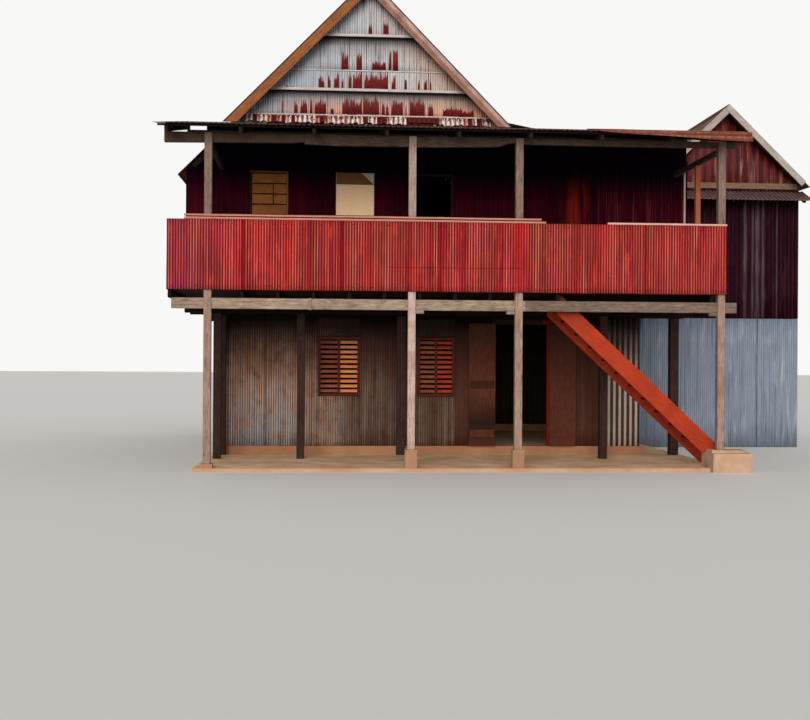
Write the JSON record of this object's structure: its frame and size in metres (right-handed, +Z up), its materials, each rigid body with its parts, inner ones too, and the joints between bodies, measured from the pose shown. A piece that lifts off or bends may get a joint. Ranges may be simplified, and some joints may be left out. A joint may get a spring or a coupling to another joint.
{
  "type": "stilt house",
  "caption": "Timber stilt house on posts, clad in corrugated sheet, with a front veranda, an outside stair, a steep gabled roof and a rear wing.",
  "frame": {"origin": "on the ground, midway between the two outer front posts, on their centre line", "axes": "+X to the right along the front seen from outside, +Y to the back of the house, +Z up"},
  "size_m": [11.1717, 9.6551, 7.55],
  "materials": {
    "concrete": "rough cast concrete, dusty",
    "pale_timber": "bare hardwood weathered silver grey",
    "dark_timber": "old brown hardwood, dull",
    "red_sheet": "red paint, faded and streaked",
    "maroon_sheet": "dark red paint, dull",
    "bare_sheet": "weathered unpainted sheet, grey brown",
    "zinc_sheet": "bluish grey galvanised sheet",
    "roof_sheet": "rusted roof sheet",
    "rusty_sheet": "rusty red-brown sheet",
    "gable_sheet": "peeling pale paint over dark red",
    "golden_boards": "golden brown boards",
    "beige_board": "beige board",
    "slat_wood": "orange brown stained slats",
    "door_wood": "brown stained boards",
    "stair_paint": "orange red paint on wood, worn",
    "iron": "rusty iron",
    "white_trim": "white painted strip"
  },
  "bodies": {
    "house": {"ground_slab": "concrete", "wall_kerb": "concrete", "post_plinths": "concrete", "stair_foot_block": "concrete", "front_posts": "pale_timber", "inner_posts": "dark_timber", "front_floor_beam": "pale_timber", "floor_beams": "dark_timber", "beam_wedges": "pale_timber", "floor_joists": "dark_timber", "veranda_floor": "dark_timber", "house_floor": "dark_timber", "parapet_frame": "dark_timber", "parapet_front": "red_sheet", "parapet_ends": "red_sheet", "parapet_rails": "pale_timber", "upper_posts": "dark_timber", "upper_wall_frame": "dark_timber", "upper_front_wall": "maroon_sheet", "upper_rear_walls": "maroon_sheet", "roof_frame": "dark_timber", "plank_shutter": "golden_boards", "board_shutter": "beige_board", "upper_door_frame": "dark_timber", "corner_trim": "white_trim", "ground_wall_frame": "dark_timber", "ground_front_wall": "bare_sheet", "ground_rear_walls": "bare_sheet", "louvre_windows": "slat_wood", "door_frame": "slat_wood", "door_pintles": "iron", "veranda_plate": "pale_timber", "veranda_rafters": "dark_timber", "veranda_roof": "roof_sheet", "corner_roof_sheet": "rusty_sheet", "main_rafters": "dark_timber", "main_purlins": "dark_timber", "main_roof": "roof_sheet", "ridge_cap": "roof_sheet", "front_gable": "gable_sheet", "gable_flashing": "gable_sheet", "back_gable": "gable_sheet", "bargeboards": "pale_timber", "aisle_roof": "rusty_sheet", "aisle_rafters": "dark_timber", "aisle_battens": "dark_timber", "wing_rafters": "dark_timber", "wing_battens": "dark_timber", "wing_board": "pale_timber", "stair_stringers": "stair_paint", "stair_treads": "stair_paint", "wing_frame": "dark_timber", "wing_floor": "dark_timber", "wing_ground_walls": "zinc_sheet", "wing_upper_walls": "maroon_sheet", "wing_gables": "maroon_sheet", "wing_roof": "roof_sheet", "wing_skirt_roof": "roof_sheet"},
    "left_leaf": {"door_leaf_left": "door_wood"},
    "right_leaf": {"door_leaf_right": "door_wood"}
  },
  "joints": [
    {"name": "left_leaf_swing", "type": "hinge", "parent": "house", "child": "left_leaf", "pos_m": [0.732, 2.244, 1.18], "axis": [0, 0, 1], "range_deg": [0, 180]},
    {"name": "right_leaf_swing", "type": "hinge", "parent": "house", "child": "right_leaf", "pos_m": [1.609, 2.244, 1.18], "axis": [0, 0, -1], "range_deg": [0, 180]}
  ]
}
